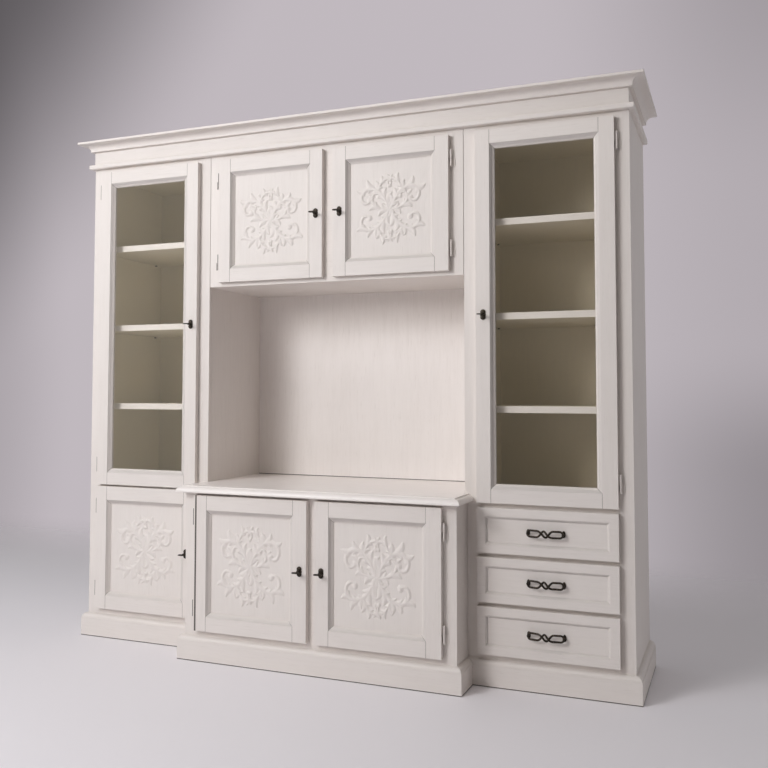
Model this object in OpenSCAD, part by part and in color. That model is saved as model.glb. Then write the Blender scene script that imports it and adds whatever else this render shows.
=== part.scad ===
// Entertainment wall unit in painted wood: two glass-door towers, a middle
// bay with an open niche, and a projecting base cabinet. Millimetres, +Z up.
// Pieces are drawn with y = 0 at the front face of the towers and x = 0 in the
// middle; placed() then moves them so that the origin is under the middle of
// the closed unit.

/* [Overall] */
// Height from the floor to the top of the cornice
total_h = 2150; // [2100:5:2300]
// Depth of the towers from the front face to the back
tower_d = 500; // [470:5:600]
// Width of each tower
tower_w = 595; // [560:5:680]
// Width of the middle bay between the towers
centre_w = 1090; // [1040:10:1300]

/* [Boards] */
// Thickness of the case boards
board_t = 20; // [18:1:24]
// Thickness of the back panels
back_t = 10; // [6:1:12]
// Thickness of the face frames
frame_t = 22; // [20:1:26]
// How far a closed door or drawer front laps over its opening
lap = 12; // [10:1:14]
// Depth of the niche behind the tower fronts
niche_d = 444; // [400:2:455]
// Hairline left between two pieces of wood that are joined
hairline = 0.2; // [0.1:0.05:0.3]
// Width of the shadow line between the face frames of a tower and the middle bay
seam = 2; // [1:0.2:3]

/* [Cornice] */
// Height of the cove cornice
cornice_h = 38; // [34:1:50]
// How far the cornice stands out
cornice_reach = 55; // [50:1:70]
// Radius of the cove
cove_r = 24; // [18:1:28]
// Height of the square fillet on top of the cornice
cornice_fillet = 9; // [6:1:10]
// Height of the plain frieze
frieze_h = 78; // [60:1:100]
// How far the frieze stands in front of the face frames
frieze_step = 5; // [2:1:10]
// Height of the bead under the frieze
bead_h = 20; // [14:1:26]
// How far the bead stands out from the frieze
bead_reach = 18; // [12:1:24]

/* [Plinth] */
// Height of the plinth
plinth_h = 95; // [80:1:110]
// How far the plinth stands out
plinth_reach = 22; // [20:1:28]
// Radius of the rounded top of the plinth
plinth_r = 17; // [12:1:18]
// How far the bottom rails reach down behind the plinth
rail_tuck = 35; // [20:1:50]

/* [Base cabinet] */
// Height from the floor to the underside of the worktop
base_h = 653; // [640:1:670]
// How far the base stands in front of the towers
base_reach = 145; // [120:5:160]
// How far each side of the base laps in front of its tower
base_lap = 11; // [8:1:14]
// Thickness of the worktop
worktop_t = 27; // [26:1:34]
// How far the worktop stands in front of the base
worktop_front = 45; // [40:1:60]
// How far the worktop stands out beside the base
worktop_side = 22; // [18:1:26]
// Radius of the worktop's rounded nose
nose_r = 19; // [12:1:20]
// Height of the small step above the nose
nose_step = 4; // [2:0.5:5]

/* [Middle bay] */
// Height of the open niche above the worktop
niche_h = 805; // [760:5:850]

/* [Doors] */
// Thickness of the doors and drawer fronts
door_t = 22; // [20:1:26]
// Gap between a closed door and the face frame
door_gap = 1; // [0.8:0.1:2]
// Frame left showing at each side of a tower door
tower_margin = 49.5; // [45:0.5:55]
// Frame left showing above the glass doors
glass_top_margin = 21; // [14:1:40]
// Frame left showing between the plinth and the left lower door
lower_margin = 26; // [20:1:40]
// Height of the left lower door
lower_door_h = 522; // [500:1:530]
// Gap between the left lower door and the glass door above it
split_gap = 8; // [6:1:12]
// Frame left showing at the outer side of an upper door
upper_margin = 52; // [48:1:60]
// Gap between the two upper doors
upper_door_gap = 46; // [40:1:60]
// Frame left showing under the upper doors
upper_low_margin = 16; // [14:1:30]
// Frame left showing above the upper doors
upper_top_margin = 23; // [14:1:40]
// Frame left showing at the outer side of a base door
base_margin = 50; // [48:1:56]
// Gap between the two base doors
base_door_gap = 33; // [30:1:50]
// Frame left showing between the plinth and the base doors
base_low_margin = 22; // [18:1:30]
// Frame left showing between the base doors and the worktop
base_top_margin = 10; // [8:1:16]
// Flat width of a tower door's stile
tower_stile = 53.5; // [48:0.5:60]
// Flat width of a glass door's top rail
glass_top_rail = 52; // [44:1:60]
// Flat width of a glass door's bottom rail
glass_low_rail = 51; // [44:1:64]
// Flat width of the left lower door's rails
lower_rail = 58; // [50:1:66]
// Flat width of an upper door's stiles and rails
upper_stile = 54; // [48:1:60]
// Flat width of a base door's stiles and rails
base_stile = 57; // [50:1:62]
// Width of the moulded edge round a door's opening
sticking_w = 17.5; // [14:0.5:20]
// Depth of the moulded edge at its inner side
sticking_d = 10; // [7:0.5:10]
// Width and depth of the small square steps on the moulded edge
sticking_step = 2; // [1:0.25:2.5]
// Thickness of the lip that holds the glass or panel from the front
lip_t = 2; // [1.5:0.5:3]
// Width of the rebate behind the lip
rebate_w = 9; // [7:0.5:11]
// Thickness of the glass
glass_t = 4; // [3:0.5:5]
// Gap round a pane or a panel in its rebate
pane_gap = 0.5; // [0.3:0.1:0.8]

/* [Drawers] */
// Gap between the right glass door and the top drawer front
drawer_top_gap = 16; // [12:1:20]
// Gap between two drawer fronts
drawer_gap = 14.5; // [12:0.5:18]
// Height of the top drawer front
top_front_h = 162; // [150:1:165]
// Height of the middle drawer front
middle_front_h = 161; // [150:1:165]
// Frame left showing between the plinth and the bottom drawer front
drawer_low_margin = 18; // [16:1:30]
// Flat border round the sunk field of a drawer front
field_border = 31; // [26:1:36]
// Width of the moulded edge round the sunk field
field_slope = 9; // [6:1:12]
// Depth of the sunk field
field_d = 6; // [4:0.5:8]
// Width and depth of the small square steps round the sunk field
field_step = 1.5; // [0.5:0.25:1.5]
// Length of a drawer box behind its front
box_d = 430; // [380:5:435]
// Thickness of a drawer box's sides and back
box_t = 12; // [10:1:15]
// Thickness of a drawer box's bottom
box_floor_t = 6; // [5:1:8]
// Gap between a drawer box and its opening at each side
box_side_gap = 2; // [1.5:0.5:4]
// Gap above a drawer box in its opening
box_top_gap = 12; // [8:1:20]
// Gap between a drawer box and the runner that it slides on
runner_gap = 0.3; // [0.2:0.05:0.5]
// Width of a drawer runner's ledge under the box
ledge_w = 18; // [14:1:24]
// Height of a drawer runner's ledge
runner_h = 20; // [14:1:24]

/* [Pulls] */
// Length of a drawer pull
pull_l = 130; // [120:1:150]
// Height of the pull's end loops between rod centres
pull_loop = 22; // [18:1:26]
// Radius of the pull's rod
rod_r = 3; // [2.4:0.1:3.2]
// Distance from the drawer field to the rod at the pull's ends
pull_foot = 18; // [16:1:24]
// How much further the rod stands out at the middle
pull_bow = 8; // [4:1:12]
// Length of the twisted middle
twist_l = 58; // [50:1:64]
// Depth of the twist, from its axis to a rod's centre
twist_depth = 3.6; // [3.5:0.1:5]
// How far the twist sways up on one side of its eye and down on the other
twist_sway = 3; // [0:0.5:4]
// Radius of the posts that carry the pull
post_r = 4; // [3:0.5:5]
// Width of the oval plate under each post
post_plate_w = 13; // [10:1:16]
// Height of the oval plate under each post
post_plate_h = 28; // [22:1:32]
// Thickness of the oval plate under each post
post_plate_t = 2.5; // [2:0.5:4]

/* [Shelves] */
// Thickness of the shelves
shelf_t = 25; // [20:1:28]
// Distance from the tower's front face to a shelf's front edge
shelf_inset = 30; // [28:1:45]
// Gap round a shelf
shelf_gap = 0.5; // [0.3:0.1:1]
// Height of the top of the low shelf behind glass
low_shelf_z = 1000; // [960:5:1040]
// Height of the top of the middle shelf behind glass
middle_shelf_z = 1341; // [1300:1:1380]
// Height of the top of the high shelf behind glass
high_shelf_z = 1690; // [1650:5:1730]
// Height of the top of the shelf behind the left lower door
cupboard_shelf_z = 390; // [340:5:440]
// Radius of a shelf pin
pin_r = 2.5; // [2:0.25:3.5]
// How far a shelf pin stands out of the side
pin_out = 9; // [7:1:12]
// How deep a shelf pin sits in the side
pin_in = 9; // [6:1:12]
// Gap between a shelf pin and the wood round it
pin_gap = 0.05; // [0.02:0.01:0.1]
// Distance of a shelf pin from the shelf's front or back edge
pin_inset = 50; // [30:5:80]

/* [Hinges] */
// Radius of a hinge barrel
barrel_r = 4; // [3.5:0.5:5]
// Length of a closed hinge
hinge_l = 64; // [56:1:76]
// Distance from a door's end to the middle of its hinge
hinge_inset = 85; // [70:1:100]
// Distance from a door's edge to the hinge axis
hinge_out = 7; // [6.5:0.5:9]
// Radius of the hinge pin
hinge_pin_r = 2.2; // [1.8:0.1:2.5]
// Running gap round the hinge pin
hinge_run = 0.05; // [0.03:0.01:0.1]
// Gap between the two halves of a hinge
knuckle_gap = 0.3; // [0.2:0.1:0.5]
// Thickness of a hinge leaf
leaf_t = 2; // [1.5:0.25:3]
// Width of the foot of a hinge leaf
leaf_w = 14; // [12:1:18]

/* [Locks and keys] */
// Distance from a door's edge to its lock
lock_inset = 28; // [27:1:32]
// How much further in the left lower door's lock sits, so that its key clears the base
lower_lock_shift = 12; // [0:1:14]
// Width of a lock case
lock_w = 24; // [18:1:25]
// Height of a lock case
lock_h = 56; // [44:1:66]
// Thickness of a lock case
lock_t = 11; // [8:1:14]
// Width of an escutcheon
plate_w = 21; // [16:1:26]
// Height of an escutcheon
plate_h = 39; // [34:1:50]
// Thickness of an escutcheon
plate_t = 1.6; // [1:0.2:2.5]
// Radius of the collar on an escutcheon
collar_r = 7; // [5.5:0.5:8]
// Height of the collar on an escutcheon
collar_h = 3; // [2:0.5:5]
// Radius of the lock's sleeve through the door
sleeve_r = 5; // [4.5:0.5:5.5]
// Radius of a key's shaft
key_r = 2.6; // [2.2:0.1:3.2]
// Running gap round a key's shaft
key_run = 0.06; // [0.03:0.01:0.1]
// How far a key stands out of its door
key_reach = 43; // [38:1:50]
// Width of a key's bow
bow_w = 30; // [26:1:34]
// Length of a key's bow along the key
bow_l = 20; // [17:1:22]
// Width of the metal round the holes of a key's bow
bow_rim = 4; // [3:0.5:5]
// Thickness of a key's bow
bow_t = 3.4; // [2.5:0.1:4]
// How far the cam of a locked door reaches behind the face frame
cam_reach = 9; // [7:1:10]
// Width of the lock's cam
cam_w = 9; // [7:1:12]
// Thickness of the lock's cam
cam_t = 2; // [1.5:0.25:3]
// Gap between the lock's cam and the back of the face frame
cam_gap = 0.6; // [0.4:0.1:1.2]

/* [Colours] */
// Painted wood
paint = "Linen"; // [Linen, Ivory, White]
// Painted fronts
front_paint = "OldLace"; // [OldLace, Ivory, White]
// Wrought iron
iron = "DarkSlateGray"; // [DarkSlateGray, DimGray, Black]

/* [Hidden] */
$fn = 48;
eps = 1;

// Main lines of the unit
half_centre = centre_w / 2;
half_w = half_centre + tower_w;
carcass_h = total_h - cornice_h - frieze_h;
worktop_z = base_h + worktop_t;
upper_z = worktop_z + niche_h;
half_base = half_centre + base_lap;
back_y = niche_d + back_t;
front_y = -base_reach - door_gap - door_t - key_reach;
mid_y = (front_y + tower_d) / 2;

// Tower doors
tower_door_w = tower_w - 2 * tower_margin;
lower_door_z = plinth_h + lower_margin;
glass_door_z = lower_door_z + lower_door_h + split_gap;
glass_door_h = carcass_h - glass_top_margin - glass_door_z;
left_door_x = -half_w + tower_margin;
right_door_x = half_centre + tower_margin;

// Drawer fronts
top_front_z = glass_door_z - drawer_top_gap - top_front_h;
middle_front_z = top_front_z - drawer_gap - middle_front_h;
bottom_front_z = plinth_h + drawer_low_margin;
bottom_front_h = middle_front_z - drawer_gap - bottom_front_z;

// Middle doors
upper_door_w = (centre_w - 2 * upper_margin - upper_door_gap) / 2;
upper_door_z = upper_z + upper_low_margin;
upper_door_h = carcass_h - upper_top_margin - upper_door_z;
base_door_w = half_base - base_margin - base_door_gap / 2;
base_door_z = plinth_h + base_low_margin;
base_door_h = base_h - base_top_margin - base_door_z;

// A door is [x, face y, z, width, height, hinge side, stile, top rail, low rail,
// distance from its edge to its lock]
left_glass = [left_door_x, 0, glass_door_z, tower_door_w, glass_door_h, -1,
    tower_stile, glass_top_rail, glass_low_rail, lock_inset];
left_lower = [left_door_x, 0, lower_door_z, tower_door_w, lower_door_h, -1,
    tower_stile, lower_rail, lower_rail, lock_inset + lower_lock_shift];
right_glass = [right_door_x, 0, glass_door_z, tower_door_w, glass_door_h, 1,
    tower_stile, glass_top_rail, glass_low_rail, lock_inset];
upper_left = [-upper_door_gap / 2 - upper_door_w, 0, upper_door_z, upper_door_w,
    upper_door_h, -1, upper_stile, upper_stile, upper_stile, lock_inset];
upper_right = [upper_door_gap / 2, 0, upper_door_z, upper_door_w, upper_door_h, 1,
    upper_stile, upper_stile, upper_stile, lock_inset];
base_left = [-base_door_gap / 2 - base_door_w, -base_reach, base_door_z, base_door_w,
    base_door_h, -1, base_stile, base_stile, base_stile, lock_inset];
base_right = [base_door_gap / 2, -base_reach, base_door_z, base_door_w, base_door_h, 1,
    base_stile, base_stile, base_stile, lock_inset];
doors = [left_glass, left_lower, upper_left, upper_right, base_left, base_right, right_glass];

function door_w(d) = d[3];
function door_h(d) = d[4];
function hinge_side(d) = d[5];
function stile(d) = d[6];
function top_rail(d) = d[7];
function low_rail(d) = d[8];
function hinge_x(d) = hinge_side(d) < 0 ? -hinge_out : door_w(d) + hinge_out;
function lock_in(d) = d[9];
function lock_x(d) = hinge_side(d) < 0 ? door_w(d) - lock_in(d) : lock_in(d);
function cam_l(d) = lock_in(d) - lap + cam_reach;

// Hinge axis and other depths behind a door's front face
hinge_y = door_t / 2;
face_y = door_t + door_gap;
lip_back = sticking_d + lip_t;
cam_y = face_y + frame_t + cam_gap;

// Inner faces, shelves and decks of the towers
side_in = half_w - board_t;
inner_in = half_centre + board_t;
tower_back = tower_d - back_t;
low_deck_z = lower_door_z + lap;
drawer_deck_z = bottom_front_z + lap;
mid_deck_z = glass_door_z + lap;
glass_shelves = [low_shelf_z, middle_shelf_z, high_shelf_z];

// Moves a piece so that the origin lies under the middle of the unit
module placed() {
    translate([0, -mid_y, 0]) children();
}

// A board between two corners
module board(low, high) {
    translate(low) cube(high - low);
}

// A board and its mirror image across the middle of the unit
module both_sides() {
    children();
    mirror([1, 0, 0]) children();
}

// Extrudes a drawing in x and z along y, from the given front to the back
module slab(front, back) {
    translate([0, back, 0]) rotate([90, 0, 0]) linear_extrude(back - front) children();
}

// Mouldings
// A run of moulding along +X from the origin, standing out towards -Y. The
// profile has its reach along x and its height along y. A mitre of 1 cuts that
// end at 45 degrees for an outside corner, and 0 cuts it square.
module run(length, start_mitre, end_mitre, reach, inner, height) {
    intersection() {
        translate([-reach, 0, 0]) mirror([0, 1, 0]) rotate([90, 0, 90])
            linear_extrude(length + 2 * reach) children();
        translate([0, 0, -eps]) linear_extrude(height + 2 * eps) polygon([
            [(inner + hairline) * start_mitre, inner],
            [(hairline - reach) * start_mitre, -reach],
            [length + (reach - hairline) * end_mitre, -reach],
            [length - (inner + hairline) * end_mitre, inner]]);
    }
}

// A run round the front and both sides of a body, mitred at the front corners
module three_sided(half_x, front, back, reach, inner, height) {
    translate([-half_x, front, 0]) run(2 * half_x, 1, 1, reach, inner, height) children();
    both_sides() translate([half_x, front, 0]) rotate([0, 0, 90])
        run(back - front, 1, 0, reach, inner, height) children();
}

// A convex quarter round of radius r with its centre at x, y
module quarter_round(x, y, r) {
    translate([x, y]) intersection() {
        circle(r);
        square(r + eps);
    }
}

module plinth_profile() {
    shoulder = plinth_h - plinth_r - 1;
    square([plinth_reach, shoulder]);
    square([plinth_reach - 2 - plinth_r, plinth_h]);
    translate([0, shoulder - eps]) square([plinth_reach - 2 - plinth_r, plinth_r + eps]);
    quarter_round(plinth_reach - 2 - plinth_r, shoulder, plinth_r);
}

module bead_profile() {
    r = bead_h / 4;
    square([bead_reach - r, bead_h]);
    translate([0, r]) square([bead_reach, bead_h - 2 * r]);
    translate([bead_reach - r, r]) circle(r);
    translate([bead_reach - r, bead_h - r]) circle(r);
}

module cornice_profile() {
    foot = 5;
    cove_top = cornice_h - cornice_fillet;
    cove_x = cornice_reach - 17;
    translate([-board_t, 0]) square([board_t + foot, cornice_h]);
    translate([0, cove_top]) square([cornice_reach, cornice_fillet]);
    difference() {
        translate([0, cove_top - cove_r]) square([cove_x, cove_r + eps]);
        translate([cove_x, cove_top - cove_r]) circle(cove_r);
        translate([cove_x - cove_r - eps, -eps]) square([cove_r + 2 * eps, cove_top - cove_r + eps]);
    }
    square([cove_x - cove_r, cove_top]);
}

module nose_profile() {
    nose_top = worktop_t - nose_step;
    nose_low = nose_top - nose_r;
    translate([-nose_r, 0]) square([nose_r, nose_top]);
    square([nose_r - 5, nose_low + eps]);
    translate([0, nose_low / 2]) square([nose_r, nose_low / 2]);
    quarter_round(0, nose_low, nose_r);
}

// Case
module tower_sides() {
    color(paint) placed() {
        side_pair(glass_shelves);
        mirror([1, 0, 0]) side_pair(concat(glass_shelves, [cupboard_shelf_z]));
    }
}

// The two sides of a tower, drilled for the pins of the given shelves
module side_pair(tops) {
    depth = pin_in + pin_gap;
    difference() {
        union() {
            board([side_in, frame_t, 0], [half_w, tower_d, carcass_h]);
            board([half_centre, frame_t, 0], [inner_in, tower_d, carcass_h]);
        }
        pin_rows(tops) for (x = [inner_in - depth, side_in - eps])
            translate([x, 0, 0]) rotate([0, 90, 0]) cylinder(h = depth + eps, r = pin_r + pin_gap);
    }
}

module tower_decks() {
    color(paint) placed() {
        for (side = [-1, 1], top = [mid_deck_z, carcass_h])
            deck(side, top);
        deck(-1, low_deck_z);
        deck(1, drawer_deck_z);
    }
}

module deck(side, top) {
    x = side < 0 ? -side_in : inner_in;
    board([x, frame_t, top - board_t], [x + side_in - inner_in, tower_back, top]);
}

// The stiles and rails of a tower's face frame, with rails at the given heights
module tower_frame(rails) {
    stile_w = tower_margin + lap;
    board([half_centre + seam / 2, 0, 0], [half_centre + stile_w, frame_t, carcass_h]);
    board([half_w - stile_w, 0, 0], [half_w, frame_t, carcass_h]);
    for (rail = rails)
        board([half_centre + stile_w + hairline, 0, rail[0]],
            [half_w - stile_w - hairline, frame_t, rail[1]]);
}

glass_top_z = glass_door_z + glass_door_h;
rail_low_z = plinth_h - rail_tuck;

module left_face_frame() {
    color(paint) placed() mirror([1, 0, 0]) tower_frame([
        [rail_low_z, low_deck_z],
        [glass_door_z - split_gap - lap, mid_deck_z],
        [glass_top_z - lap, carcass_h]]);
}

module right_face_frame() {
    color(paint) placed() tower_frame([
        [rail_low_z, drawer_deck_z],
        [middle_front_z - drawer_gap - lap, middle_front_z + lap],
        [top_front_z - drawer_gap - lap, top_front_z + lap],
        [glass_door_z - drawer_top_gap - lap, mid_deck_z],
        [glass_top_z - lap, carcass_h]]);
}

module upper_case() {
    color(paint) placed() {
        both_sides() board([half_centre - board_t, frame_t, upper_z], [half_centre, niche_d, carcass_h]);
        x = half_centre - board_t - hairline;
        board([-x, frame_t, upper_z], [x, niche_d, upper_z + board_t]);
        board([-x, frame_t, carcass_h - board_t], [x, niche_d, carcass_h]);
        board([-board_t / 2, frame_t, upper_z + board_t + hairline],
            [board_t / 2, niche_d, carcass_h - board_t - hairline]);
    }
}

// A face frame with two stiles, a muntin and two rails. The stiles stop short of
// the ends at x = half by the given relief.
module pair_frame(half, relief, face, stile_w, muntin_w, low, high, low_rail_top, top_rail_low) {
    both_sides() board([half - stile_w, face, low], [half - relief, face + frame_t, high]);
    x = half - stile_w - hairline;
    board([-x, face, max(low, rail_low_z)], [x, face + frame_t, low_rail_top]);
    board([-x, face, top_rail_low], [x, face + frame_t, high]);
    board([-muntin_w / 2, face, low_rail_top + hairline],
        [muntin_w / 2, face + frame_t, top_rail_low - hairline]);
}

module upper_face_frame() {
    color(paint) placed() pair_frame(half_centre, seam / 2, 0, upper_margin + lap,
        upper_door_gap + 2 * lap, upper_z, carcass_h,
        upper_door_z + lap, upper_door_z + upper_door_h - lap);
}

module base_face_frame() {
    color(paint) placed() pair_frame(half_base, 0, -base_reach, base_margin + lap,
        base_door_gap + 2 * lap, 0, base_h,
        base_door_z + lap, base_door_z + base_door_h - lap);
}

module base_case() {
    frame_back = frame_t - base_reach;
    x = half_centre - board_t;
    floor_z = base_door_z + lap;
    color(paint) placed() {
        both_sides() {
            board([x, frame_back, 0], [half_centre, back_y, base_h]);
            board([half_centre + hairline, frame_back, 0], [half_base, 0, base_h]);
        }
        board([hairline - x, frame_back, floor_z - board_t], [x - hairline, niche_d, floor_z]);
        board([-board_t / 2, frame_back, floor_z + hairline], [board_t / 2, niche_d, base_h]);
    }
}

module back_panels() {
    x = half_centre - board_t;
    color(paint) placed() {
        board([-side_in, tower_back, low_deck_z - board_t], [-inner_in, tower_d, carcass_h]);
        board([inner_in, tower_back, drawer_deck_z - board_t], [side_in, tower_d, carcass_h]);
        board([-half_centre, niche_d, worktop_z], [half_centre, back_y, carcass_h]);
        board([-x, niche_d, base_door_z + lap - board_t], [x, back_y, base_h]);
    }
}

module worktop() {
    half = half_base + worktop_side - nose_r;
    front = -base_reach - worktop_front + nose_r;
    color(front_paint) placed() translate([0, 0, base_h]) union() {
        board([-half, front, 0], [half, 0, worktop_t]);
        board([-half_centre, -eps, 0], [half_centre, back_y, worktop_t]);
        three_sided(half, front, 0, nose_r, nose_r, worktop_t) nose_profile();
    }
}

module frieze() {
    front = -frieze_step;
    inner = front + board_t;
    low = carcass_h;
    high = total_h - cornice_h;
    color(paint) placed() {
        board([-half_w, front, low], [half_w, inner, high]);
        both_sides() board([side_in, inner + hairline, low], [half_w, tower_d, high]);
        x = side_in - hairline;
        board([-x, tower_d - board_t, low], [x, tower_d, total_h - board_t]);
    }
}

module bead() {
    color(front_paint) placed() translate([0, 0, carcass_h])
        three_sided(half_w, -frieze_step, tower_d, bead_reach, 0, bead_h) bead_profile();
}

module cornice() {
    color(front_paint) placed() translate([0, 0, total_h - cornice_h])
        three_sided(half_w, -frieze_step, tower_d, cornice_reach, board_t, cornice_h)
            cornice_profile();
}

module dust_cover() {
    color(paint) placed() board([-side_in, board_t - frieze_step, total_h - board_t],
        [side_in, tower_d, total_h]);
}

module left_plinth() {
    color(front_paint) placed() mirror([1, 0, 0]) tower_plinth();
}

module right_plinth() {
    color(front_paint) placed() tower_plinth();
}

module tower_plinth() {
    translate([half_base, 0, 0]) run(half_w - half_base, 0, 1, plinth_reach, 0, plinth_h)
        plinth_profile();
    translate([half_w, 0, 0]) rotate([0, 0, 90])
        run(tower_d, 1, 0, plinth_reach, 0, plinth_h) plinth_profile();
}

module centre_plinth() {
    color(front_paint) placed()
        three_sided(half_base, -base_reach, -plinth_reach, plinth_reach, 0, plinth_h)
            plinth_profile();
}

// Shelves
module shelf(side, top) {
    x = side < 0 ? -side_in : inner_in;
    board([x + shelf_gap, shelf_inset, top - shelf_t],
        [x + side_in - inner_in - shelf_gap, tower_back - shelf_gap, top]);
}

module shelves() {
    color(paint) placed() {
        for (side = [-1, 1], top = glass_shelves)
            shelf(side, top);
        shelf(-1, cupboard_shelf_z);
    }
}

// Puts its child at each pin height and depth, at x = 0
module pin_rows(tops) {
    for (top = tops, y = [shelf_inset + pin_inset, tower_back - pin_inset])
        translate([0, y, top - shelf_t - pin_r - shelf_gap]) children();
}

module shelf_pins() {
    color(iron) placed() {
        both_sides() pin_rows(glass_shelves) pin_pair();
        mirror([1, 0, 0]) pin_rows([cupboard_shelf_z]) pin_pair();
    }
}

module pin_pair() {
    for (x = [inner_in - pin_in, side_in - pin_out])
        translate([x, 0, 0]) rotate([0, 90, 0]) cylinder(h = pin_in + pin_out, r = pin_r);
}

// Doors
module at_door(d) {
    translate([d[0], d[1] - face_y, d[2]]) children();
}

// A moulded edge as a line of [distance from the flat, depth]: a small step, a
// round, and a second step at the bottom
function moulded_line(width, depth, step) = concat(
    [[0, -eps], [0, step]],
    [for (a = [0:18:90]) [
        step + (width - 3 * step) * sin(a),
        step + (depth - 2 * step) * (1 - cos(a))]],
    [[width - step, depth - step], [width - step, depth]]);

// The hole that a moulded edge leaves between two flats at low and high
function moulded_hole(line, low, high) = concat(
    [for (p = line) [low + p[0], p[1]]],
    [for (i = [len(line) - 1:-1:0]) [high - line[i][0], line[i][1]]]);

// A sunk field with a moulded edge, cut into a front of w by h
module moulded_field(line, w, h, x0, x1, z0, z1) {
    intersection() {
        linear_extrude(h) polygon(moulded_hole(line, x0, x1));
        rotate([90, 0, 90]) linear_extrude(w)
            polygon([for (p = moulded_hole(line, z0, z1)) [p[1], p[0]]]);
    }
}

// The moulded opening of a door, cut from its frame
module door_opening(d) {
    w = door_w(d);
    h = door_h(d);
    x0 = stile(d);
    z0 = low_rail(d);
    z1 = h - top_rail(d);
    moulded_field(moulded_line(sticking_w, sticking_d, sticking_step), w, h, x0, w - x0, z0, z1);
    board([x0 + sticking_w, sticking_d - eps, z0 + sticking_w],
        [w - x0 - sticking_w, door_t + eps, z1 - sticking_w]);
    board([x0 + sticking_w - rebate_w, lip_back, z0 + sticking_w - rebate_w],
        [w - x0 - sticking_w + rebate_w, door_t + eps, z1 - sticking_w + rebate_w]);
}

// Outline of the left stile, with its moulded edge mitred to meet the rails
module stile_outline(d) {
    s = sticking_w;
    x = stile(d);
    z0 = low_rail(d);
    z1 = door_h(d) - top_rail(d);
    polygon([[0, 0], [x, 0], [x, z0], [x + s, z0 + s], [x + s, z1 - s], [x, z1],
        [x, door_h(d)], [0, door_h(d)]]);
}

// Outline of a rail whose outer edge is at z0 and whose flat ends at z1
module rail_outline(d, z0, z1) {
    s = sticking_w;
    x = stile(d) + hairline;
    w = door_w(d);
    tip = z1 + (z1 > z0 ? s : -s);
    polygon([[x, z0], [x, z1], [x + s, tip], [w - x - s, tip], [w - x, z1], [w - x, z0]]);
}

module door_member(d) {
    difference() {
        slab(0, door_t) children();
        door_opening(d);
    }
}

module door_timber(d) {
    w = door_w(d);
    h = door_h(d);
    door_member(d) stile_outline(d);
    door_member(d) translate([w, 0]) mirror([1, 0]) stile_outline(d);
    door_member(d) rail_outline(d, 0, low_rail(d));
    door_member(d) rail_outline(d, h, h - top_rail(d));
}

// The corners of the pane or panel in its rebate
function pane_x(d) = stile(d) + sticking_w - rebate_w;
function pane_low(d) = low_rail(d) + sticking_w - rebate_w;
function pane_high(d) = door_h(d) - top_rail(d) - sticking_w + rebate_w;

module door_infill(d, thick) {
    board([pane_x(d) + pane_gap, lip_back, pane_low(d) + pane_gap],
        [door_w(d) - pane_x(d) - pane_gap, lip_back + thick, pane_high(d) - pane_gap]);
}

// Four beads that hold the glass in from behind
module glazing_beads(d) {
    y0 = lip_back + glass_t;
    x0 = pane_x(d) + hairline;
    x1 = door_w(d) - x0;
    z0 = pane_low(d) + hairline;
    z1 = pane_high(d) - hairline;
    board([x0, y0, z0], [x1, door_t, z0 + rebate_w]);
    board([x0, y0, z1 - rebate_w], [x1, door_t, z1]);
    for (x = [x0, x1 - rebate_w])
        board([x, y0, z0 + rebate_w + hairline], [x + rebate_w, door_t, z1 - rebate_w - hairline]);
}

// Puts its child at the middle of each hinge of a door, on the hinge axis,
// with +X pointing away from the door
module at_hinges(d) {
    for (z = [hinge_inset, door_h(d) - hinge_inset])
        translate([hinge_x(d), hinge_y, z])
            if (hinge_side(d) < 0) mirror([1, 0, 0]) children();
            else children();
}

half_hinge = hinge_l / 2 - knuckle_gap / 2;
hinge_pin_l = half_hinge - 3;

// The half on the door: a barrel bored for the pin, and a leaf on the door's edge
module door_hinge_half() {
    edge_x = hairline - hinge_out;
    difference() {
        union() {
            translate([0, 0, knuckle_gap / 2]) cylinder(h = half_hinge, r = barrel_r);
            board([edge_x, -leaf_t / 2, knuckle_gap / 2], [0, leaf_t / 2, half_hinge]);
            board([edge_x, -leaf_w / 2, knuckle_gap / 2], [edge_x + leaf_t, leaf_w / 2, half_hinge]);
        }
        cylinder(h = knuckle_gap / 2 + hinge_pin_l + 1, r = hinge_pin_r + hinge_run);
    }
}

// The half on the face frame: a barrel with the pin, and a leaf with its foot
module frame_hinge_half() {
    low = -hinge_l / 2;
    foot_y = face_y - hinge_y;
    union() {
        translate([0, 0, low]) cylinder(h = half_hinge, r = barrel_r);
        translate([0, 0, low + eps]) cylinder(h = hinge_l / 2 - eps + hinge_pin_l, r = hinge_pin_r);
        board([-leaf_t / 2, 0, low + eps], [leaf_t / 2, foot_y, low + half_hinge - eps]);
        board([-leaf_t / 2, foot_y - leaf_t, low + eps], [leaf_w, foot_y, low + half_hinge - eps]);
    }
}

module frame_hinge_halves() {
    color(front_paint) placed() for (d = doors)
        at_door(d) at_hinges(d) frame_hinge_half();
}

module door_frame(d, glazed) {
    color(front_paint) placed() at_door(d) {
        difference() {
            door_timber(d);
            lock_hole(d);
        }
        at_hinges(d) door_hinge_half();
        if (glazed) glazing_beads(d);
    }
}

module door_panel(d) {
    color(paint) placed() at_door(d) door_infill(d, door_t - lip_back);
}

module door_pane(d) {
    color("LightBlue", 0.35) placed() at_door(d) door_infill(d, glass_t);
}

// Locks and keys
module at_lock(d) {
    translate([lock_x(d), 0, door_h(d) / 2]) children();
}

// A pointed oval with blunted ends and a round middle that stands out beside it
module escutcheon_outline() {
    oval_w = plate_w - 5;
    r = (pow(oval_w, 2) + pow(plate_h, 2)) / (4 * oval_w);
    intersection() {
        translate([oval_w / 2 - r, 0]) circle(r);
        translate([r - oval_w / 2, 0]) circle(r);
        square([oval_w, plate_h - 2], center = true);
    }
    circle(plate_w / 2);
}

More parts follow.
